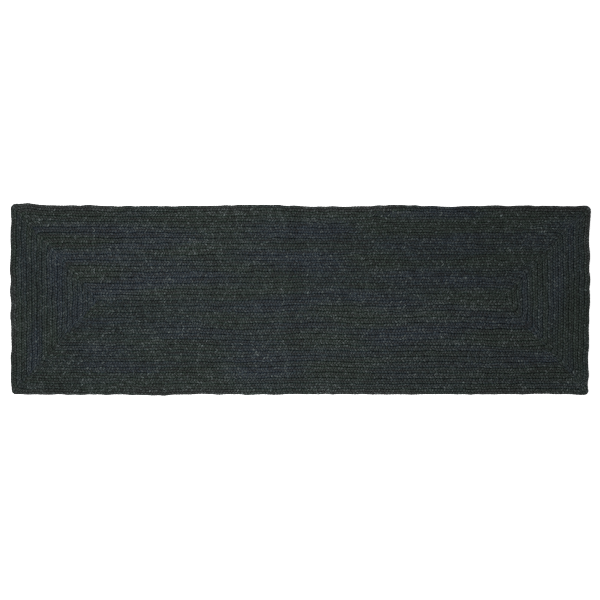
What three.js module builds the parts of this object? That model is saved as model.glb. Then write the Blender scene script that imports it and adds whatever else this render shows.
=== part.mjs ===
// A braided runner rug, lying flat: one flat three-strand braid wound as a rectangular spiral, and sewn
// row to row by a thread in the groove between the rows. The braid runs out along the middle, folds back
// beside itself and goes on round anticlockwise, and its end is tapered and tucked in at a corner.
// Millimetres, +Z up, origin on the floor under the middle of the rug, X along the rug.
import * as THREE from "three";

// Driving dimensions
const LENGTH = 1829; // nominal 6 ft
const WIDTH = 595; // nominal 2 ft, drawn in a little by the sewing
const THICKNESS = 9;
const TURNS = 17;
const END_PITCH = 16.3; // row to row at the two ends, where the braid is drawn tighter than at the sides
const SEAM_GAP = 1.4; // between neighbouring rows, for the sewing thread

// The braid
const SIDE_PITCH = (WIDTH + SEAM_GAP) / (2 * TURNS);
const HALF_BRAID = (SIDE_PITCH - SEAM_GAP) / 2;
const EDGE_RADIUS = 3.5; // of the braid's section
const EDGE_STEPS = 1; // half of the facets of each rounded edge

// Corners of the rows: the first turns fold sharply, and the others go round more gently
const CORNER_GROWTH = 4; // radius gained with each turn
const CORNER_RADIUS = 14; // radius that most turns have
const RUG_CORNER_RADIUS = 16;
const CORNER_STEPS = 3;

// Ends and cuts
const CUT_GAP = 0.3; // where one turn is told from the next
const TAIL_LENGTH = 80; // of the last stretch along the side, before it turns the corner
const TUCK_RADIUS = 38; // of the last turn's corner, which leaves the room where the tail is tucked in
const TUCK_STEPS = 12;
const TIP_ANGLE = THREE.MathUtils.degToRad(-22); // round that corner, where the tail's tip is

// The sewing thread
const THREAD_WIDTH = 0.8;
const THREAD_DEPTH = 5; // the stitches' reach through the braid's thickness

// Half the length of the fold that the braid starts with
const CORE = (LENGTH + SEAM_GAP) / 2 - TURNS * END_PITCH;
// The turns are told apart on the lower side, just before the first right-hand corner
const CUT_X = CORE - END_PITCH;

const group = new THREE.Group();

function addMesh(name, geometry, color, roughness) {
  const material = new THREE.MeshStandardMaterial({ color, roughness, metalness: 0 });
  const mesh = new THREE.Mesh(geometry, material);
  mesh.name = name;
  group.add(mesh);
}

// The spiral's corners in the order that the braid takes them. The spiral steps out by one row on the
// lower side, so its lower right corner lags a row behind the others.
const CORNERS = [
  { x: 1, y: -1, lag: 1, from: -Math.PI / 2 },
  { x: 1, y: 1, lag: 0, from: 0 },
  { x: -1, y: 1, lag: 0, from: Math.PI / 2 },
  { x: -1, y: -1, lag: 0, from: Math.PI },
];
const LOWER_RIGHT = CORNERS[0];
const LEFT_CORNERS = CORNERS.slice(2);

// Groove number n is the line along the outer side of turn n; groove 0 is the slit inside the first fold.
function cornerRadius(groove, corner) {
  if (groove < TURNS) return Math.min(CORNER_RADIUS, CORNER_GROWTH * groove);
  return corner === LOWER_RIGHT ? TUCK_RADIUS : RUG_CORNER_RADIUS;
}

// A point at the given angle of a groove's rounded corner, moved outwards from the groove by offset
function cornerPoint(groove, corner, angle, offset) {
  const radius = cornerRadius(groove, corner);
  const x = corner.x * (CORE + groove * END_PITCH + offset - radius);
  const y = corner.y * ((groove - corner.lag) * SIDE_PITCH + offset - radius);
  return new THREE.Vector2(x + radius * Math.cos(angle), y + radius * Math.sin(angle));
}

// A station is a pair of points, on a strip's inner and outer edge
function cornerStations(inner, outer, corner) {
  const stations = [];
  for (let step = 0; step <= CORNER_STEPS; step++) {
    const angle = corner.from + (step / CORNER_STEPS) * (Math.PI / 2);
    stations.push([
      cornerPoint(inner.groove, corner, angle, inner.offset),
      cornerPoint(outer.groove, corner, angle, outer.offset),
    ]);
  }
  return stations;
}

// A station where a strip is cut straight across on the lower side, in the given row of grooves
function cutStation(x, inner, outer, lag) {
  const innerY = (lag - inner.groove) * SIDE_PITCH - inner.offset;
  const outerY = (lag - outer.groove) * SIDE_PITCH - outer.offset;
  return [new THREE.Vector2(x, innerY), new THREE.Vector2(x, outerY)];
}

// One turn of a strip, from the cut where the turn before ends to the cut where the next begins
function turnStations(inner, outer, startX, endX, corners) {
  const round = corners.flatMap((corner) => cornerStations(inner, outer, corner));
  return [cutStation(startX, inner, outer, 1), ...round, cutStation(endX, inner, outer, 0)];
}

// A straight extrusion of the section, bent so that its sides follow the stations' points
function strip(section, halfWidth, stations) {
  const steps = stations.length - 1;
  const geometry = new THREE.ExtrudeGeometry(section, {
    depth: steps,
    steps,
    curveSegments: EDGE_STEPS,
    bevelEnabled: false,
  });
  const position = geometry.attributes.position;
  for (let i = 0; i < position.count; i++) {
    const [inner, outer] = stations[Math.round(position.getZ(i))];
    const across = (halfWidth - position.getX(i)) / (2 * halfWidth);
    const point = inner.clone().lerp(outer, across);
    position.setXYZ(i, point.x, point.y, position.getY(i));
  }
  geometry.computeVertexNormals();
  return geometry;
}

// The braid's section: flat above and below, with rounded sides
function braidSection() {
  const flat = HALF_BRAID - EDGE_RADIUS;
  const top = THICKNESS - EDGE_RADIUS;
  const section = new THREE.Shape();
  section.absarc(flat, EDGE_RADIUS, EDGE_RADIUS, -Math.PI / 2, 0);
  section.absarc(flat, top, EDGE_RADIUS, 0, Math.PI / 2);
  section.absarc(-flat, top, EDGE_RADIUS, Math.PI / 2, Math.PI);
  section.absarc(-flat, EDGE_RADIUS, EDGE_RADIUS, Math.PI, 1.5 * Math.PI);
  return section;
}

// The stitches together fill a thin upright band in the groove
function threadSection() {
  const side = THREAD_WIDTH / 2;
  const low = (THICKNESS - THREAD_DEPTH) / 2;
  const high = low + THREAD_DEPTH;
  const section = new THREE.Shape();
  section.moveTo(-side, low);
  section.lineTo(side, low);
  section.lineTo(side, high);
  section.lineTo(-side, high);
  section.closePath();
  return section;
}

function twoDigits(number) {
  return String(number).padStart(2, "0");
}

function addBraidTurn(turn) {
  const inner = { groove: turn - 1, offset: SEAM_GAP / 2 };
  const outer = { groove: turn, offset: -SEAM_GAP / 2 };
  const tailX = LENGTH / 2 - TAIL_LENGTH;
  const endX = (turn === TURNS ? tailX : CUT_X) - CUT_GAP;
  const stations = turnStations(inner, outer, CUT_X, endX, turn === 1 ? LEFT_CORNERS : CORNERS);
  if (turn === 1) {
    // The braid starts square, against the second turn and clear of its rounded inner corner
    const startX = CORE + END_PITCH - SEAM_GAP / 2 - CORNER_GROWTH;
    const start = [inner.offset, SIDE_PITCH + outer.offset].map((y) => new THREE.Vector2(startX, y));
    stations[0] = start;
  }
  addMesh(`braid_turn_${twoDigits(turn)}`, strip(braidSection(), HALF_BRAID, stations), 0x2d3333, 0.95);
}

// The end of the braid goes on round the rug's corner, and tapers between the last turn and the edge
function addTuckedEnd() {
  const startX = LENGTH / 2 - TAIL_LENGTH;
  const innerPoint = (angle) => cornerPoint(TURNS, LOWER_RIGHT, angle, SEAM_GAP / 2);
  const bend = innerPoint(LOWER_RIGHT.from);
  const tip = innerPoint(TIP_ANGLE);
  const innerEdge = new THREE.Path();
  innerEdge.moveTo(startX, bend.y);
  innerEdge.lineTo(bend.x, bend.y);
  innerEdge.absarc(bend.x, bend.y + TUCK_RADIUS, TUCK_RADIUS, LOWER_RIGHT.from, TIP_ANGLE);
  const outerEdge = new THREE.Path();
  const cornerX = LENGTH / 2 - RUG_CORNER_RADIUS;
  const cornerY = RUG_CORNER_RADIUS - WIDTH / 2;
  outerEdge.moveTo(startX, -WIDTH / 2);
  outerEdge.lineTo(cornerX, -WIDTH / 2);
  outerEdge.absarc(cornerX, cornerY, RUG_CORNER_RADIUS, LOWER_RIGHT.from, 0);
  outerEdge.lineTo(LENGTH / 2, tip.y);
  const outerPoints = outerEdge.getSpacedPoints(TUCK_STEPS);
  const stations = innerEdge.getSpacedPoints(TUCK_STEPS).map((point, i) => [point, outerPoints[i]]);
  addMesh("tucked_end", strip(braidSection(), HALF_BRAID, stations), 0x2d3333, 0.95);
}

function addThread(name, stations) {
  addMesh(name, strip(threadSection(), THREAD_WIDTH / 2, stations), 0x262b2b, 0.8);
}

function addSeams() {
  const side = THREAD_WIDTH / 2;
  const endX = CUT_X - CUT_GAP;
  const core = [{ groove: 0, offset: -side }, { groove: 0, offset: side }];
  addThread("seam_thread_core", [cutStation(-CORE, ...core, 0), cutStation(endX, ...core, 0)]);
  for (let groove = 1; groove < TURNS; groove++) {
    const edges = [{ groove, offset: -side }, { groove, offset: side }];
    addThread(`seam_thread_${twoDigits(groove)}`, turnStations(...edges, CUT_X, endX, CORNERS));
  }
  // The last seam holds the tucked end, and stops beside its tip
  const last = [{ groove: TURNS, offset: -side }, { groove: TURNS, offset: side }];
  const round = cornerStations(...last, LOWER_RIGHT).slice(0, CORNER_STEPS);
  addThread("seam_thread_end", [cutStation(CUT_X, ...last, 1), ...round]);
}

for (let turn = 1; turn <= TURNS; turn++) addBraidTurn(turn);
addTuckedEnd();
addSeams();

export default group;
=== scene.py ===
"""A braided jute runner rug, seen from straight above.

The rug is one flat three-strand plait, wound as a rectangular spiral and sewn row to row. Each turn's
three strands are meshes of their own, which pass over and under each other. The sewing thread is a line
of whip stitches in each groove, and loose fibres stand off the braid. Metres, in the CAD model's frame.

A place in the braid has a run, measured along the braid's middle line from its start at the core, and a
side, measured across the braid and more than 0 towards the rug's edge.
"""
import math

import bpy
import numpy as np
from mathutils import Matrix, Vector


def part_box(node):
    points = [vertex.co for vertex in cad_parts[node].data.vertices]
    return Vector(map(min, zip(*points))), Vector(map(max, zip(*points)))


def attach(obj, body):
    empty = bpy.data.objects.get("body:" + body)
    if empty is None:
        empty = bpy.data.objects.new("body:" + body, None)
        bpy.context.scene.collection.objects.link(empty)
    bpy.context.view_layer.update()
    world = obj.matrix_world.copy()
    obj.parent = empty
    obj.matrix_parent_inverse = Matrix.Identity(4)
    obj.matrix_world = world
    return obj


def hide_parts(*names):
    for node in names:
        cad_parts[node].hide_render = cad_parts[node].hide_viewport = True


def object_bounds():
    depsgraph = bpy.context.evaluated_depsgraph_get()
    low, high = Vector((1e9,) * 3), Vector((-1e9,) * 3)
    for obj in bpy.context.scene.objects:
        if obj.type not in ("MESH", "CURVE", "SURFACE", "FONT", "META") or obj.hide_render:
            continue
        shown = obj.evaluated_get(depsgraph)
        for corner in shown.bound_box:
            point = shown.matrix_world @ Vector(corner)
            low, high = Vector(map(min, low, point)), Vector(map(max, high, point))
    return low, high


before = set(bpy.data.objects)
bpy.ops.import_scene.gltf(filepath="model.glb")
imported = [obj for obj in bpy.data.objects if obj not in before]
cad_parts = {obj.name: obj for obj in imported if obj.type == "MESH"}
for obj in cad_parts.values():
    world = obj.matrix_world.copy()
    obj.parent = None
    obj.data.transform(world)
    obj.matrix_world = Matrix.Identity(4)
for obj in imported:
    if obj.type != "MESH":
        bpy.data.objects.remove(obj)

CAD_LOW, CAD_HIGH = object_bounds()
RNG = np.random.default_rng(1829)
FULL_TURN = 2 * math.pi

# ---------------------------------------------------------------------------------------------------
# The spiral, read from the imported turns
# ---------------------------------------------------------------------------------------------------
TURNS = sum(name.startswith("braid_turn_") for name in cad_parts)


def turn_name(turn):
    return f"braid_turn_{turn:02d}"


def spiral_measures():
    """Row pitches at the sides and ends, half the gap between rows, and half the first fold's length."""
    outer, before, first = (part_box(turn_name(n))[1] for n in (TURNS, TURNS - 1, 1))
    side_pitch = outer.y - before.y
    end_pitch = outer.x - before.x
    half_gap = side_pitch - first.y
    return side_pitch, end_pitch, half_gap, outer.x + half_gap - TURNS * end_pitch


SIDE_PITCH, END_PITCH, HALF_GAP, CORE = spiral_measures()
CUT_X = CORE - END_PITCH  # where one turn is told from the next
CORNER_GROWTH = 0.004  # of a corner's radius from one turn to the next
CORNER_RADIUS = 0.014
RUG_CORNER_RADIUS = 0.016
TUCK_RADIUS = 0.038
TAIL_LENGTH = 0.080
TAIL_STEPS = 120
TIP_ANGLE = math.radians(-22)
SHEAR_LENGTH = 0.022  # how far from a corner the plait starts to lean over
STEP = 0.001  # along the middle line

# For each corner: its two signs, 1 where its groove is one turn further in, and its arc's first angle
CORNERS = (
    (1, -1, 1, -math.pi / 2),
    (1, 1, 0, 0.0),
    (-1, 1, 0, math.pi / 2),
    (-1, -1, 0, math.pi),
)


def smooth(t):
    """From 0 to 1 with level ends, as t goes from 0 to 1."""
    t = np.clip(t, 0, 1)
    return t * t * (3 - 2 * t)


def unit(vectors):
    return vectors / np.linalg.norm(vectors, axis=1)[:, None]


def lengths_along(points):
    """Distance along a polyline from its first point to each of its points."""
    return np.concatenate([[0], np.cumsum(np.linalg.norm(np.diff(points, axis=0), axis=1))])


def corner_radius(groove, corner):
    if groove < TURNS:
        return min(CORNER_RADIUS, CORNER_GROWTH * groove)
    return TUCK_RADIUS if corner[2] else RUG_CORNER_RADIUS


def groove_corner(groove, corner):
    sx, sy, lag, _ = corner
    return np.array([sx * (CORE + groove * END_PITCH), sy * (groove - lag) * SIDE_PITCH])


def corner_arc(inner, outer, corner, steps=12):
    """Middle line and across vectors round one corner, between the grooves inner and outer."""
    sign = np.array(corner[:2], float)
    k_in, k_out = groove_corner(inner, corner), groove_corner(outer, corner)
    r_in, r_out = corner_radius(inner, corner), corner_radius(outer, corner)
    angle = corner[3] + np.linspace(0, math.pi / 2, steps + 1)
    turn = np.stack([np.cos(angle), np.sin(angle)], 1) - sign
    return (k_in + k_out) / 2 + (r_in + r_out) / 2 * turn, (k_out - k_in) + (r_out - r_in) * turn


def straight(p0, a0, p1, a1):
    """Between two corners: the across vector loses its lean after one and takes on the other's."""
    length = float(np.linalg.norm(p1 - p0))
    n = max(2, int(length / STEP))
    t = np.linspace(0, 1, n + 1)[1:-1, None]
    along = (p1 - p0) / length
    shear = min(SHEAR_LENGTH, length / 2)
    lean0, lean1 = a0 @ along, a1 @ along
    lean = lean0 * (1 - smooth(t * length / shear)) + lean1 * smooth(1 - (1 - t) * length / shear)
    square0, square1 = a0 - lean0 * along, a1 - lean1 * along
    return p0 + (p1 - p0) * t, square0 * (1 - t) + square1 * t + lean * along


def spaced(points, n):
    """n points at equal steps along a polyline."""
    points = np.asarray(points, float)
    run = lengths_along(points)
    at = np.linspace(0, run[-1], n)
    return np.stack([np.interp(at, run, points[:, i]) for i in (0, 1)], 1)


def arc_points(centre, radius, start, end, steps=24):
    angle = np.linspace(start, end, steps + 1)
    return np.stack([centre[0] + radius * np.cos(angle), centre[1] + radius * np.sin(angle)], 1)


def tail_stretch():
    """The end of the braid, round the rug's corner, tapering between the last turn and the edge."""
    right, low = CORE + TURNS * END_PITCH, -TURNS * SIDE_PITCH
    start_x = right - HALF_GAP - TAIL_LENGTH
    groove_y = low + SIDE_PITCH
    tuck = (right - TUCK_RADIUS, groove_y + TUCK_RADIUS)
    tuck_arc = arc_points(tuck, TUCK_RADIUS, -math.pi / 2, TIP_ANGLE)
    inner = np.concatenate([[[start_x, groove_y]], tuck_arc])
    round_corner = (right - RUG_CORNER_RADIUS, low + RUG_CORNER_RADIUS)
    rug_arc = arc_points(round_corner, RUG_CORNER_RADIUS, -math.pi / 2, 0)
    outer = np.concatenate([[[start_x, low]], rug_arc, [[right, tuck_arc[-1, 1]]]])
    inner, outer = spaced(inner, TAIL_STEPS), spaced(outer, TAIL_STEPS)
    return (inner + outer) / 2, outer - inner


def build_route():
    """The braid's middle line from the core to the tucked end, with the vector across it."""
    start_x = CORE + END_PITCH - HALF_GAP
    legs = [(np.array([[start_x, SIDE_PITCH / 2]]), np.array([[0, SIDE_PITCH]]))]
    for turn in range(1, TURNS + 1):
        for corner in CORNERS if turn > 1 else CORNERS[2:]:
            legs.append(corner_arc(turn - 1, turn, corner))
    legs.append(tail_stretch())
    points, across = [legs[0][0]], [legs[0][1]]
    for (p_old, a_old), (p_new, a_new) in zip(legs, legs[1:]):
        p, a = straight(p_old[-1], a_old[-1], p_new[0], a_new[0])
        points += [p, p_new]
        across += [a, a_new]
    points, across = np.concatenate(points), np.concatenate(across)
    return lengths_along(points), points, across


RUN, MIDDLE, ACROSS = build_route()
BRAID_LENGTH = RUN[-1]


def cut_places():
    """Runs at which each turn begins, then where the tail begins and ends; and the last row's own cut."""
    low_side = (MIDDLE[:-1, 0] < CUT_X) & (MIDDLE[1:, 0] >= CUT_X) & (MIDDLE[1:, 1] < 0)
    passed = [float(run) for run in RUN[1:][low_side]]
    return [0.0, *passed[: TURNS - 1], float(RUN[-TAIL_STEPS]), float(BRAID_LENGTH)], passed[-1]


CUTS, LAST_CUT = cut_places()
LAST_TURN_FROM = CUTS[TURNS - 1]
OUTER_FREE_FROM = LAST_TURN_FROM + CORE / 4  # from where nothing lies outside the braid

# ---------------------------------------------------------------------------------------------------
# Irregularity
# ---------------------------------------------------------------------------------------------------


class Wander:
    """A smooth random curve from -size to size, through a new value after every reach of the braid."""

    BEFORE = 2  # values before the braid's start
    SPARE = 8  # values more than the braid's length takes, at both ends together

    def __init__(self, reach, size, length=BRAID_LENGTH):
        self.reach = reach
        self.values = size * RNG.uniform(-1, 1, int(length / reach) + self.SPARE)

    def __call__(self, run):
        at = np.asarray(run) / self.reach + self.BEFORE
        i = np.clip(at.astype(int), 0, len(self.values) - 2)
        return self.values[i] + (self.values[i + 1] - self.values[i]) * smooth(at - i)


class Drift:
    """Two smooth random fields over the rug, sums of waves in all directions, which the rows share."""

    def __init__(self, waves, size, shortest, longest):
        direction = RNG.uniform(0, FULL_TURN, waves)
        wavelength = RNG.uniform(shortest, longest, waves)
        self.vector = np.stack([np.cos(direction), np.sin(direction)]) * FULL_TURN / wavelength
        self.phase = RNG.uniform(0, FULL_TURN, (2, waves))
        self.size = size * wavelength / longest * math.sqrt(2 / waves)

    def __call__(self, points):
        turn = points[:, :2] @ self.vector
        return np.stack([(np.sin(turn + p) * self.size).sum(1) for p in self.phase], 1)


DRIFT = Drift(waves=10, size=0.0024, shortest=0.16, longest=0.65)
UNEVEN = Drift(waves=24, size=0.0011, shortest=0.035, longest=0.09)
BULGES = (  # where the outline is drawn out or in: place, reach and push
    ((-0.870, 0.290), 0.055, (-0.001, 0.006)),
    ((-0.570, 0.290), 0.080, (0.0, -0.003)),
    ((-0.460, -0.290), 0.070, (0.0, -0.004)),
    ((0.920, 0.270), 0.045, (0.006, 0.001)),
)
LOOSER_INSIDE = 0.05  # by which the first rows are wider than the average, and the last ones narrower


def wound(points):
    """Points of the even spiral, where the slacker and tighter winding of the real braid puts them."""
    reach = np.abs(points[:, 1]) / (TURNS * SIDE_PITCH)
    points[:, 1] *= 1 + LOOSER_INSIDE * (1 - np.minimum(reach, 1))
    points[:, :2] += DRIFT(points) + UNEVEN(points)
    for centre, extent, push in BULGES:
        near = np.exp(-((points[:, :2] - centre) ** 2).sum(1) / extent**2)
        points[:, :2] += near[:, None] * np.array(push)
    return points


# ---------------------------------------------------------------------------------------------------
# The plait
# ---------------------------------------------------------------------------------------------------
STRANDS = "abc"
REPEAT = 0.0265  # along the braid, in which each strand goes across and back
SWING = 0.0062  # of a strand's middle to either side
MIDDLE_HEIGHT = 0.0047
RISE = 0.0020
HALF_BROAD = 0.0048  # of a strand's flattened section
HALF_THICK = 0.0021
ROLL = math.radians(26)  # of that section at the braid's edges
UNDER = 0.25  # of half a turn of the plait's angle, where a strand is under another
FULLNESS = 0.78  # of the section: 1 is an ellipse, and less is fuller
RINGS = 14  # in one repeat
OUTER_RINGS = 20  # in the last turn, whose bends are the rug's outline
RINGS_CROWDED = 0.19  # towards the bends at the braid's edges
SLOPE_STEP = 0.0004  # either way, to measure a strand's direction
AROUND = 14  # points round a strand: seven yarns, each a ridge and a groove
YARNS = AROUND // 2
YARN_DEPTH = 0.13  # of the grooves between the yarns, in parts of the section
YARN_TWIST = 0.11  # along the strand, in which the yarns go once round
START_LENGTH = 0.012  # over which the strands come to their full size
START_SIZE = 0.8
END_LENGTH = 0.03  # over which they thin out into the tucked end
END_THINNING = 0.45
END_GATHER = 0.4  # of their swing
END_INWARD = 0.0035  # towards the row beside it
TUCK_DROP = 0.0022  # by which the very end goes down under that row
FLAT_BELOW = 0.0006  # the height from which the underside rests flat on the floor
PRESSED_FROM = 0.0083  # sideways, where neighbouring rows start to press each other flat
PRESSED_TO = SIDE_PITCH / 2 + 0.0009
FREE_TO = SIDE_PITCH / 2 + 0.0011  # at the rug's edge, where only the braid's own pull rounds it


def pressed(side, free_out):
    """Sideways places, squeezed where they would reach into the next row."""
    over = np.abs(side) - PRESSED_FROM
    room = np.where(free_out & (side > 0), FREE_TO, PRESSED_TO) - PRESSED_FROM
    squeezed = PRESSED_FROM + room * (1 - np.exp(-np.maximum(over, 0) / room))
    return np.where(over > 0, np.sign(side) * squeezed, side)


def resting(height):
    """Heights, flattened where the underside rests on the floor."""
    flattened = FLAT_BELOW * np.exp(np.minimum(height / FLAT_BELOW - 1, 0))
    return flattened + np.maximum(height - FLAT_BELOW, 0)


def place(run, side, height):
    """Points in the rug, from a run along the braid, a sideways place in it and a height."""
    x = np.interp(run, RUN, MIDDLE[:, 0]) + side / SIDE_PITCH * np.interp(run, RUN, ACROSS[:, 0])
    y = np.interp(run, RUN, MIDDLE[:, 1]) + side / SIDE_PITCH * np.interp(run, RUN, ACROSS[:, 1])
    return wound(np.stack([x, y, height], 1))


# How hard each hand's length was pulled, which crowds or stretches the plait
PULL = Wander(reach=0.030, size=0.0024)
LONG_PULL = Wander(reach=0.30, size=0.010)
CROSSING_PULL = Wander(reach=0.010, size=0.0010)


def turned(run):
    """The plait's angle, which moves on by a full turn in one repeat."""
    return FULL_TURN / REPEAT * (run + PULL(run) + LONG_PULL(run) + CROSSING_PULL(run))


class Strand:
    """One of the three strands: its own unevenness, and its shades of the dye."""

    def __init__(self, index):
        self.phase = index * FULL_TURN / len(STRANDS)
        self.swing = Wander(reach=REPEAT / 2, size=0.08)
        self.shift = Wander(reach=REPEAT / 2, size=0.0004)
        self.lift = Wander(reach=REPEAT / 2, size=0.00018)
        self.broad = Wander(reach=REPEAT / 3, size=0.07)
        self.thick = Wander(reach=REPEAT / 3, size=0.09)
        self.bend_tone = Wander(reach=1.0, size=0.4, length=2 * BRAID_LENGTH / REPEAT + 4)
        self.long_tone = Wander(reach=0.35, size=0.4)
        self.patch_tone = Wander(reach=0.045, size=0.5)
        self.fleck_tone = Wander(reach=0.0045, size=0.6)
        self.hue = Wander(reach=0.12, size=0.4)
        self.yarn_tones = [Wander(reach=0.007, size=3.0) for _ in range(YARNS)]

    def middle(self, run):
        """Angle in the plait, side and height of the strand's middle line."""
        angle = turned(run) + self.phase
        side = SWING * (1 + self.swing(run)) * np.sin(angle) + self.shift(run) + ROW_WANDER(run)
        height = MIDDLE_HEIGHT + RISE * np.sin(2 * angle) + self.lift(run)
        return angle, side, height

    def tone(self, run, angle):
        """How pale the strand is along its run; each bend on the upper side has its own share."""
        bend = self.bend_tone(angle / math.pi - UNDER)
        return bend + self.patch_tone(run) + self.long_tone(run) + ROW_TONE(run) + self.fleck_tone(run)


# Shared by the three strands of a row
ROW_TONE = Wander(reach=0.16, size=0.6)
ROW_HUE = Wander(reach=0.14, size=0.4)
# Painted shade: how it varies along the braid's middle and along its seams
VALLEY_SHADE_WANDER = Wander(reach=0.030, size=1.6)
SEAM_SHADE_WANDER = Wander(reach=0.022, size=2.2)
DYE = Drift(waves=24, size=0.85, shortest=0.045, longest=0.14)
ROW_WANDER = Wander(reach=0.075, size=0.00012)
ROW_HEIGHT = Wander(reach=0.11, size=0.0003)
ALL_STRANDS = [Strand(i) for i in range(len(STRANDS))]
THREAD_SLIP = Wander(reach=0.08, size=0.7)  # of the stitches along the groove, in radians

# ---------------------------------------------------------------------------------------------------
# Shades of the dye, and painted light and shade, as values of the strands' points
# ---------------------------------------------------------------------------------------------------
CREASE_X = -0.011  # across the middle, where the rug was folded for the shop
CREASE_HALF = 0.023
CREASE_SWAY = 0.006
CREASE_BENDS = 17  # radians of that sway in a metre
# Painted shade along the fold's crease
CREASE_PAINTED_SHADE = 0.95
MITRE_DARKENING = 0.2  # along the corners' diagonals
MITRE_HALF = 0.4  # in rows
END_FADE = 4  # rows, over which the tones of the long sides become those of the ends
# Painted shade at the rug's ends
END_PAINTED_SHADE = 0.04
END_CALM = 0.12  # by which the tones differ less at the ends
SIDE_FROM = 0.20  # from the rug's long middle line, where painted light starts to make the rows a little paler
SIDE_FADE = 0.06
# Painted light on the long sides
SIDE_PAINTED_LIGHT = 0.18
DYE_STRETCH = 0.22  # across over along, so that a patch of one shade runs on along the rows
RIM_FROM = 0.03  # from the edge, where the shades start to turn bluer
RIM_FADE = 0.06
RIM_HUE = -0.32
INNER_HUE = 0.18
BROWNEST = -0.55
OUTERMOST = 0.022  # from the edge, the last row, which is browner
OUTERMOST_FADE = 0.008
OUTERMOST_HUE = -0.5
# Painted shade in the hollows: in the grooves between the yarns, along the braid's middle where the strands
# cross, and along the seams between rows
VALLEY_HALF = 0.0016  # of the painted shade line where the strands cross in the braid's middle
VALLEY_PAINTED_SHADE = 2.0
END_VALLEY_SHADE = 0.4  # at the rug's ends, in parts of that painted shade
SEAM_HALF = 0.0020
SEAM_PAINTED_SHADE = -0.4  # less than 0, so painted light more often than painted shade, because the groove between rows is dark enough in itself


def crease(points):
    """From 0 to 1, how deep in the fold's crease, where shade is painted."""
    sway = CREASE_SWAY * np.sin(points[:, 1] * CREASE_BENDS)
    off = (points[:, 0] - CREASE_X - sway) / CREASE_HALF
    return np.exp(-(off**4))


def beyond_mitre(points):
    """Rows from the corners' diagonals: more than 0 on the long sides, less than 0 at the ends."""
    return np.abs(points[:, 1]) / SIDE_PITCH - (np.abs(points[:, 0]) - CORE) / END_PITCH


def dye(points, own_hue):
    """From -1, brown, through olive and green-grey to 1, navy: bluer inside, and brown at the very rim."""
    rim = np.minimum(CAD_HIGH[0] - np.abs(points[:, 0]), CAD_HIGH[1] - np.abs(points[:, 1]))
    stretch = np.where(beyond_mitre(points)[:, None] > 0, (DYE_STRETCH, 1.0), (1.0, DYE_STRETCH))
    patches = DYE(points[:, :2] * stretch)[:, 0] + own_hue
    zone = RIM_HUE + (INNER_HUE - RIM_HUE) * smooth((rim - RIM_FROM) / RIM_FADE)
    return np.maximum(zone + patches, BROWNEST) + OUTERMOST_HUE * smooth((OUTERMOST - rim) / OUTERMOST_FADE)


def strand_shades(strand, run, angle, side, points):
    """Tone with painted light and shade, hue, painted shade of the hollows and grain coordinates of a
    strand's points, a ring of them for each run.
    """
    rings = points.reshape(len(run), AROUND, 3)
    side = side.reshape(len(run), AROUND)
    off_mitre = beyond_mitre(points).reshape(len(run), AROUND)
    rows_off = off_mitre.mean(1)
    mitre = MITRE_DARKENING * np.exp(-((rows_off / MITRE_HALF) ** 2))
    at_end = smooth(0.5 - rows_off / END_FADE)
    calm = 1 - END_CALM * at_end
    # Painted shade at the ends, and painted light on the long sides
    tone = strand.tone(run, angle) * calm - mitre - END_PAINTED_SHADE * at_end
    outer = smooth((np.abs(rings[:, :, 1].mean(1)) - SIDE_FROM) / SIDE_FADE)
    tone = (tone + SIDE_PAINTED_LIGHT * outer * (1 - at_end))[:, None]
    yarns = np.stack([strand.yarn_tones[i // 2](run) * calm for i in range(AROUND)], 1)
    # Painted shade along the fold's crease
    painted_crease_shade = CREASE_PAINTED_SHADE * crease(points).reshape(len(run), AROUND)
    valley_shade_mask = np.exp(-((side / VALLEY_HALF) ** 2)) * np.where(off_mitre > 0, 1.0, END_VALLEY_SHADE)
    seam = np.exp(-(((np.abs(side) - SIDE_PITCH / 2) / SEAM_HALF) ** 2))
    # Painted shade: in the yarns' grooves, along the middle where the strands cross, and along the seams
    painted_shade = (VALLEY_PAINTED_SHADE + VALLEY_SHADE_WANDER(run))[:, None] * valley_shade_mask
    painted_shade += (SEAM_PAINTED_SHADE + SEAM_SHADE_WANDER(run))[:, None] * seam
    hue = dye(rings.mean(1), strand.hue(run) + ROW_HUE(run))
    number = np.arange(AROUND)
    values = {
        "tone": tone + yarns - painted_crease_shade,
        "hue": np.repeat(hue[:, None], AROUND, 1),
        # painted shade: every second point round lies in a groove between yarns
        "painted_hollow_shade": number % 2 + painted_shade,
        "along": np.repeat(run[:, None], AROUND, 1),
        "round": np.tile(number / AROUND, (len(run), 1)),
    }
    return {name: value.ravel() for name, value in values.items()}


# ---------------------------------------------------------------------------------------------------
# Meshes
# ---------------------------------------------------------------------------------------------------
MIN_RINGS = 3


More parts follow.
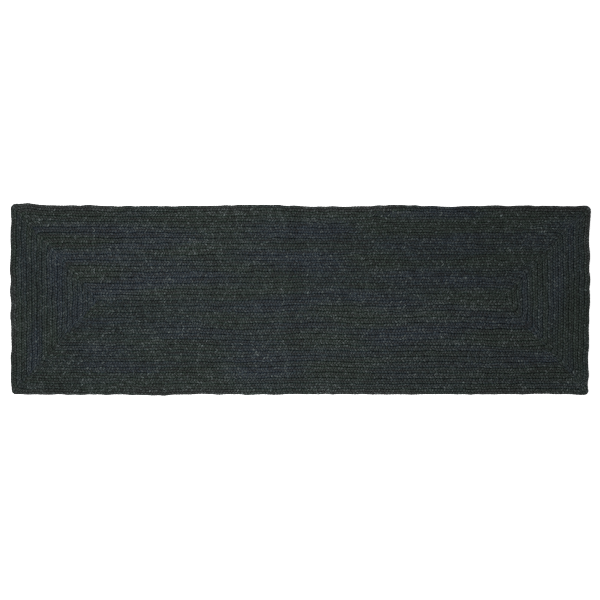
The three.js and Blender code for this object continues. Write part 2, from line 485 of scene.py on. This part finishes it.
def closed_tubes(name, points, around, values, tubes=1):
    """A mesh of tubes, given as rings of points, each capped at both ends, with named point values.

    The rings turn from the side to the height. Run, side and height are a left-handed set of axes here,
    because the braid goes round counter-clockwise, and the faces are wound to point out all the same.
    """
    grid = np.arange(len(points)).reshape(tubes, -1, around)
    beside = np.roll(grid, -1, axis=2)
    quads = np.stack([grid[:, :-1], grid[:, 1:], beside[:, 1:], beside[:, :-1]], -1).reshape(-1, 4)
    caps = np.concatenate([grid[:, 0], grid[:, -1, ::-1]])
    loops = np.concatenate([quads.ravel(), caps.ravel()])
    starts = np.concatenate([4 * np.arange(len(quads)), 4 * len(quads) + around * np.arange(len(caps))])
    mesh = bpy.data.meshes.new(name)
    mesh.vertices.add(len(points))
    mesh.vertices.foreach_set("co", points.astype(np.float32).ravel())
    mesh.loops.add(len(loops))
    mesh.loops.foreach_set("vertex_index", loops.astype(np.int32))
    mesh.polygons.add(len(starts))
    mesh.polygons.foreach_set("loop_start", starts.astype(np.int32))
    mesh.polygons.foreach_set("use_smooth", np.arange(len(starts)) < len(quads))
    mesh.update(calc_edges=True)
    for key, value in values.items():
        layer = mesh.attributes.new(key, "FLOAT", "POINT")
        layer.data.foreach_set("value", value.astype(np.float32))
    mesh.validate()
    return mesh


def full(wave):
    """A sine or cosine swollen towards its peaks, for a section fuller than an ellipse."""
    return np.sign(wave) * np.abs(wave) ** FULLNESS


def strand_runs(strand, start, end):
    """The runs of a strand's rings of points, which stand closer together round its bends."""
    density = OUTER_RINGS if start >= LAST_TURN_FROM else RINGS
    rings = max(MIN_RINGS, int(round((end - start) / REPEAT * density)) + 1)
    even = np.linspace(start, end, rings)
    crowded = even + RINGS_CROWDED * REPEAT / FULL_TURN * np.sin(2 * (turned(even) + strand.phase))
    return np.concatenate([[start], crowded[1:-1], [end]])


def section_ways(strand, run, angle):
    """Unit vectors across a strand at each run: along its section's broad way and its thin way."""
    _, side_on, height_on = strand.middle(run + SLOPE_STEP)
    _, side_back, height_back = strand.middle(run - SLOPE_STEP)
    run_on = np.full(len(run), 2 * SLOPE_STEP)
    forward = unit(np.stack([run_on, side_on - side_back, height_on - height_back], 1))
    level = unit(np.stack([-forward[:, 1], forward[:, 0], np.zeros(len(run))], 1))
    up = np.cross(forward, level)
    roll = (ROLL * np.sin(angle))[:, None]
    return level * np.cos(roll) - up * np.sin(roll), up * np.cos(roll) + level * np.sin(roll)


def strand_rings(strand, run, angle, side, height):
    """Points round a strand's yarns, as run, side and height, a ring of them for each run."""
    ending = smooth(1 - (BRAID_LENGTH - run) / END_LENGTH)
    side = side * (1 - END_GATHER * ending) - END_INWARD * ending
    middles = np.stack([run, side, height - TUCK_DROP * ending], 1)
    size = (START_SIZE + (1 - START_SIZE) * smooth(run / START_LENGTH)) * (1 - END_THINNING * ending)
    broad = HALF_BROAD * (1 + strand.broad(run)) * size
    thick = HALF_THICK * (1 + strand.thick(run)) * size
    number = np.arange(AROUND)
    around = FULL_TURN * (number / AROUND + (run / YARN_TWIST)[:, None])
    ridge = np.where(number % 2 == 0, 1.0, 1 - YARN_DEPTH)
    broad_way, thin_way = section_ways(strand, run, angle)
    broad_out = broad[:, None] * full(np.cos(around)) * ridge
    thin_out = thick[:, None] * full(np.sin(around)) * ridge
    rings = middles[:, None] + broad_out[..., None] * broad_way[:, None]
    rings += thin_out[..., None] * thin_way[:, None]
    return rings.reshape(-1, 3)


def strand_mesh(name, strand, start, end):
    run = strand_runs(strand, start, end)
    angle, side, height = strand.middle(run)
    local = strand_rings(strand, run, angle, side, height)
    side = pressed(local[:, 1], local[:, 0] > OUTER_FREE_FROM)
    points = place(local[:, 0], side, local[:, 2])
    points[:, 2] = resting(points[:, 2] + ROW_HEIGHT(local[:, 0]))
    return closed_tubes(name, points, AROUND, strand_shades(strand, run, angle, side, points))


STITCH = 0.011  # along a groove, in which the thread goes once over and under
THREAD_RADIUS = 0.00045
STITCH_REACH = 0.0026  # sideways into the rows on either side
STITCH_DEPTH = 0.0019
THREAD_RINGS = 6  # in one stitch
THREAD_SIDES = 5
SEAM_STARTS = 0.004  # from the core's end
FOLD_CLEARANCE = 0.002  # before the first fold
END_CLEARANCE = 0.01  # before the tucked end's tip


def thread_mesh(name, start, end):
    """Whip stitches along the inner side of a stretch of the braid: a long helix in the groove."""
    rings = max(MIN_RINGS, int((end - start) / STITCH * THREAD_RINGS) + 1)
    run = np.linspace(start, end, rings)
    angle = FULL_TURN * run / STITCH + THREAD_SLIP(run)
    side = -SIDE_PITCH / 2 + STITCH_REACH * np.cos(angle)
    height = MIDDLE_HEIGHT + STITCH_DEPTH * np.sin(angle)
    forward = unit(np.stack([np.gradient(run), np.gradient(side), np.gradient(height)], 1))
    out = np.stack([np.zeros(rings), np.cos(angle), np.sin(angle)], 1)
    out = unit(out - (out * forward).sum(1)[:, None] * forward)
    beside = np.cross(forward, out)
    around = (FULL_TURN * np.arange(THREAD_SIDES) / THREAD_SIDES)[:, None]
    ring = out[:, None] * np.cos(around) + beside[:, None] * np.sin(around)
    local = (np.stack([run, side, height], 1)[:, None] + THREAD_RADIUS * ring).reshape(-1, 3)
    return closed_tubes(name, place(*local.T), THREAD_SIDES, {})


def seam_stretches():
    """The seams' nodes and runs: each thread lies in the groove on its stretch of braid's inner side."""
    first_fold = float(RUN[np.argmax(MIDDLE[:, 0] < -CORE)])
    seams = [("seam_thread_core", SEAM_STARTS, first_fold - FOLD_CLEARANCE)]
    for turn in range(1, TURNS):
        end = LAST_CUT if turn == TURNS - 1 else CUTS[turn + 1]
        seams.append((f"seam_thread_{turn:02d}", CUTS[turn], end))
    return [*seams, ("seam_thread_end", LAST_CUT, BRAID_LENGTH - END_CLEARANCE)]


FIBRES_PER_METRE = 110
FIBRE_RADIUS = 0.00008
FIBRE_THINNING = 0.6  # towards the tip
FIBRE_STATIONS = 5
FIBRE_SIDES = 3
FIBRE_LENGTHS = (0.005, 0.014)
FIBRE_LIFTS = (0.0002, 0.0020)
FIBRE_ARCH = 2.2  # radians of a sine, so that the fibre rises and comes down a little again
FIBRE_SPREAD = 0.5  # radians from the strand's own direction
FIBRE_BEND = 0.7  # radians from root to tip
FIBRE_ROOTS = (0.15, 0.85)  # round the strand's upper side, in half turns
FIBRE_ROOT_DEPTH = 0.8  # in parts of the section
FIBRE_SLOPE_STEP = 0.001  # to measure the strand's direction at the root


def fibre_roots(run, choice, round_it):
    """Side, height and direction of the places where fibres leave the strands."""
    side, height, slope = np.zeros((3, len(run)))
    for index, strand in enumerate(ALL_STRANDS):
        own = choice == index
        _, side[own], height[own] = strand.middle(run[own])
        _, ahead, _ = strand.middle(run[own] + FIBRE_SLOPE_STEP)
        slope[own] = np.arctan2(ahead - side[own], FIBRE_SLOPE_STEP)
    side += FIBRE_ROOT_DEPTH * HALF_BROAD * np.cos(round_it) * np.cos(slope)
    height += FIBRE_ROOT_DEPTH * HALF_THICK * np.sin(round_it)
    return side, height, slope


def fibre_mesh(name, start, end):
    """Loose jute fibres, which leave the strands' upper side at a low angle and curl away."""
    count = int((end - start) * FIBRES_PER_METRE)
    root = RNG.uniform(start, end, count)
    length = RNG.uniform(*FIBRE_LENGTHS, count)
    heading = RNG.normal(0, FIBRE_SPREAD, count) + np.where(RNG.random(count) < 0.5, 0, math.pi)
    bend = RNG.normal(0, FIBRE_BEND, count)
    lift = RNG.uniform(*FIBRE_LIFTS, count)
    choice = RNG.integers(0, len(STRANDS), count)
    round_it = RNG.uniform(*FIBRE_ROOTS, count) * math.pi
    side, height, slope = fibre_roots(root, choice, round_it)
    t = np.linspace(0, 1, FIBRE_STATIONS)[None, :]
    aim = (slope + heading)[:, None] + bend[:, None] * t
    run = root[:, None] + length[:, None] * t * np.cos(aim)
    side = side[:, None] + length[:, None] * t * np.sin(aim)
    height = height[:, None] + lift[:, None] * np.sin(t * FIBRE_ARCH)
    beside = np.stack([-np.sin(aim), np.cos(aim), np.zeros_like(aim)], -1)
    up = np.array([0.0, 0.0, 1.0])
    corner = (FULL_TURN * np.arange(FIBRE_SIDES) / FIBRE_SIDES)[:, None]
    ring = beside[:, :, None] * np.cos(corner) + up * np.sin(corner)
    radius = FIBRE_RADIUS * (1 - FIBRE_THINNING * t)[..., None, None]
    local = (np.stack([run, side, height], -1)[:, :, None] + radius * ring).reshape(-1, 3)
    points = place(np.clip(local[:, 0], 0, BRAID_LENGTH), local[:, 1], local[:, 2])
    return closed_tubes(name, points, FIBRE_SIDES, {}, tubes=count)


def add_piece(name, mesh, material, slot, *nodes):
    mesh.materials.append(material)
    piece = bpy.data.objects.new(name, mesh)
    bpy.context.scene.collection.objects.link(piece)
    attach(piece, "root")
    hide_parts(*nodes)
    return piece


# ---------------------------------------------------------------------------------------------------
# Materials
# ---------------------------------------------------------------------------------------------------
SPECULAR = 0.3
JUTE_ROUGHNESS = 0.62
HUE_HALF = 0.5  # brings the hue from -1 to 1 down to the ramp's 0 to 1
DYE_COLOURS = (  # brown, olive, green-grey and navy
    (0.0, (0.0127, 0.0168, 0.0150, 1)),
    (0.20, (0.0085, 0.0182, 0.0118, 1)),
    (0.40, (0.0080, 0.0180, 0.0148, 1)),
    (1.0, (0.0081, 0.0162, 0.0252, 1)),
)
PALE_COLOUR = (0.0135, 0.0168, 0.0165, 1)
PALE_GAIN = 0.55  # how soon the pale fibres lose the dye's colour
PALE_FROM = -0.45
TONE_BASE = 1.45  # one step of tone multiplies the colour by this
# Painted shade: how much each step of the hollows' value darkens the colour
PAINTED_SHADE_DIMMING = -0.30
GRAIN = (160.0, 40.0)  # the fibres' noise: how fine it is along the strand and round it
GRAIN_DETAIL = 4.0
GRAIN_GAIN = 1.6
GRAIN_LOWEST = 0.2
GRAIN_BUMP = 0.6
GRAIN_HEIGHT = 0.0004
HEATHER = (230.0, 8.0)  # the same for short lengths of paler and darker yarn
HEATHER_DETAIL = 1.0
HEATHER_GAIN = 9.5
THREAD_COLOURS = ((0.35, (0.012, 0.015, 0.015, 1)), (0.65, (0.024, 0.029, 0.029, 1)))
THREAD_ROUGHNESS = 0.7
THREAD_MOTTLE = 300  # how fine the change of shade is, in a metre
FIBRE_COLOURS = ((0.35, (0.018, 0.022, 0.020, 1)), (0.65, (0.070, 0.075, 0.068, 1)))
FIBRE_ROUGHNESS = 0.55
FIBRE_MOTTLE = 60
MOTTLE_DETAIL = 3.0
FLOOR_COLOUR = (0.95, 0.95, 0.95, 1)
WHITE = (1, 1, 1, 1)


class Look:
    """A new material, with short ways to add nodes to it."""

    def __init__(self, name, roughness):
        self.material = bpy.data.materials.new(name)
        self.material.use_nodes = True
        self.tree = self.material.node_tree
        self.shader = self.tree.nodes["Principled BSDF"]
        self.fill(self.shader, {"Roughness": roughness})

    def fill(self, node, inputs):
        """Sockets given another node's output are linked to it, and the others take the value."""
        for key, value in inputs.items():
            if isinstance(value, bpy.types.NodeSocket):
                self.tree.links.new(value, node.inputs[key])
            else:
                node.inputs[key].default_value = value

    def add(self, kind, inputs, **settings):
        node = self.tree.nodes.new("ShaderNode" + kind)
        for key, value in settings.items():
            setattr(node, key, value)
        self.fill(node, inputs)
        return node

    def value(self, name):
        """One of the mesh's point values."""
        return self.add("Attribute", {}, attribute_name=name).outputs["Fac"]

    def math(self, operation, *values):
        return self.add("Math", dict(enumerate(values)), operation=operation).outputs[0]

    def noise(self, vector, scale, detail):
        return self.add("TexNoise", {"Vector": vector, "Scale": scale, "Detail": detail}).outputs["Fac"]

    def strand_noise(self, along, around, detail):
        """Noise on the strand's own surface, which has its scale along the strand and round it."""
        along_it = self.math("MULTIPLY", self.value("along"), along)
        round_it = self.math("MULTIPLY", self.value("round"), around)
        return self.noise(self.add("CombineXYZ", {0: along_it, 1: round_it}).outputs[0], 1.0, detail)

    def ramp(self, factor, stops):
        """Colours between two or more stops, in order."""
        node = self.add("ValToRGB", {"Fac": factor})
        elements = node.color_ramp.elements
        elements[0].position, elements[1].position = stops[0][0], stops[-1][0]
        for position, _ in stops[1:-1]:
            elements.new(position)
        for element, (_, colour) in zip(elements, stops):
            element.color = colour
        return node.outputs["Color"]


def jute_material():
    look = Look("charcoal_jute", JUTE_ROUGHNESS)
    hue = look.ramp(look.math("MULTIPLY_ADD", look.value("hue"), HUE_HALF, HUE_HALF), DYE_COLOURS)
    grain = look.strand_noise(*GRAIN, GRAIN_DETAIL)
    heather = look.strand_noise(*HEATHER, HEATHER_DETAIL)
    shade = look.math("MULTIPLY_ADD", heather, HEATHER_GAIN, -HEATHER_GAIN / 2)
    tone = look.math("POWER", TONE_BASE, look.math("ADD", look.value("tone"), shade))
    # The palest fibres took less of the dye's colour
    faded = look.math("MULTIPLY_ADD", tone, PALE_GAIN, PALE_FROM)
    colour = look.add("Mix", {"Factor": faded, "A": hue, "B": PALE_COLOUR}, data_type="RGBA")
    # Painted shade in the hollows darkens the colour
    painted_shade_dim = look.math("MULTIPLY_ADD", look.value("painted_hollow_shade"), PAINTED_SHADE_DIMMING, 1.0)
    fibre = look.math("MULTIPLY_ADD", grain, GRAIN_GAIN, GRAIN_LOWEST)
    total = look.math("MULTIPLY", look.math("MULTIPLY", tone, painted_shade_dim), fibre)
    scaled = look.add("VectorMath", {0: colour.outputs["Result"], "Scale": total}, operation="SCALE")
    bump = look.add("Bump", {"Strength": GRAIN_BUMP, "Distance": GRAIN_HEIGHT, "Height": grain})
    surface = {"Base Color": scaled.outputs[0], "Normal": bump.outputs[0]}
    look.fill(look.shader, {"Specular IOR Level": SPECULAR, **surface})
    return look.material


def mottled_material(name, colours, roughness, scale):
    """Dyed fibre too thin to show a grain of its own: two shades, in soft lengths."""
    look = Look(name, roughness)
    noise = look.noise(look.add("TexCoord", {}).outputs["Object"], scale, MOTTLE_DETAIL)
    look.fill(look.shader, {"Specular IOR Level": SPECULAR, "Base Color": look.ramp(noise, colours)})
    return look.material


def floor_material(name, glow):
    look = Look(name, 1.0)
    look.fill(look.shader, {"Base Color": FLOOR_COLOUR})
    look.fill(look.shader, {"Emission Color": WHITE, "Emission Strength": glow})
    return look.material


# ---------------------------------------------------------------------------------------------------
# Stage
# ---------------------------------------------------------------------------------------------------
FLOOR_SIZE = 80
FLOOR_GLOW = 0.4
SHADE_INSET = 0.012  # of the floor's part without a glow, from the rug's edge
SHADE_LIFT = 0.00004
STUDIO_LIGHT = 0.67
SOFTBOX = (0.6, 2.4)
SOFTBOX_WATTS = 20.4
SOFTBOX_PLACE = (-0.26, -0.18, 1.30)
PIXEL_FILTER = 1.0
LENS = 85
VIEW_WIDTH = 1.9014  # of the floor, across the picture


def add_floor():
    bpy.ops.mesh.primitive_plane_add(size=FLOOR_SIZE)
    floor = bpy.context.object
    floor.name = "floor"
    floor.data.materials.append(floor_material("pale_floor", FLOOR_GLOW))
    # Under the rug no light reaches the floor, so that patch has no glow of its own
    shade = bpy.data.meshes.new("floor_under_rug")
    x, y = CAD_HIGH[0] - SHADE_INSET, CAD_HIGH[1] - SHADE_INSET
    shade.from_pydata([(-x, -y, 0), (x, -y, 0), (x, y, 0), (-x, y, 0)], [], [(0, 1, 2, 3)])
    shade.materials.append(floor_material("pale_floor_in_shade", 0))
    patch = bpy.data.objects.new("floor_under_rug", shade)
    patch.location.z = SHADE_LIFT
    bpy.context.scene.collection.objects.link(patch)


def add_studio():
    """Even light from all round, a softbox above the rug's left half, and a camera straight above."""
    scene = bpy.context.scene
    scene.view_settings.view_transform = "Standard"
    scene.world = bpy.data.worlds.new("studio")
    scene.world.use_nodes = True
    back = scene.world.node_tree.nodes["Background"]
    back.inputs["Color"].default_value = WHITE
    back.inputs["Strength"].default_value = STUDIO_LIGHT
    lamp = bpy.data.lights.new("softbox", "AREA")
    lamp.shape = "RECTANGLE"
    lamp.size, lamp.size_y = SOFTBOX
    lamp.energy = SOFTBOX_WATTS
    light = bpy.data.objects.new("softbox", lamp)
    light.location = SOFTBOX_PLACE
    light.visible_camera = False
    scene.collection.objects.link(light)
    scene.cycles.use_denoising = False  # it smears the plait into flat rows
    scene.cycles.filter_width = PIXEL_FILTER
    camera = bpy.data.objects.new("camera", bpy.data.cameras.new("camera"))
    camera.data.lens = LENS
    camera.location = (0, 0, VIEW_WIDTH * camera.data.lens / camera.data.sensor_width)
    scene.collection.objects.link(camera)
    scene.camera = camera


def build():
    jute = jute_material()
    fibre = mottled_material("loose_fibre", FIBRE_COLOURS, FIBRE_ROUGHNESS, FIBRE_MOTTLE)
    for turn in range(1, TURNS + 2):
        node = turn_name(turn) if turn <= TURNS else "tucked_end"
        start, end = CUTS[turn - 1], CUTS[turn]
        for letter, strand in zip(STRANDS, ALL_STRANDS):
            name = f"{node}_strand_{letter}"
            add_piece(name, strand_mesh(name, strand, start, end), jute, "jute_braid", node)
        name = f"{node}_loose_fibres"
        add_piece(name, fibre_mesh(name, start, end), fibre, "jute_braid", node)
    thread = mottled_material("sewing_thread", THREAD_COLOURS, THREAD_ROUGHNESS, THREAD_MOTTLE)
    for node, start, end in seam_stretches():
        name = f"{node}_stitches"
        add_piece(name, thread_mesh(name, start, end), thread, "sewing_thread", node)


add_floor()
add_studio()
build()
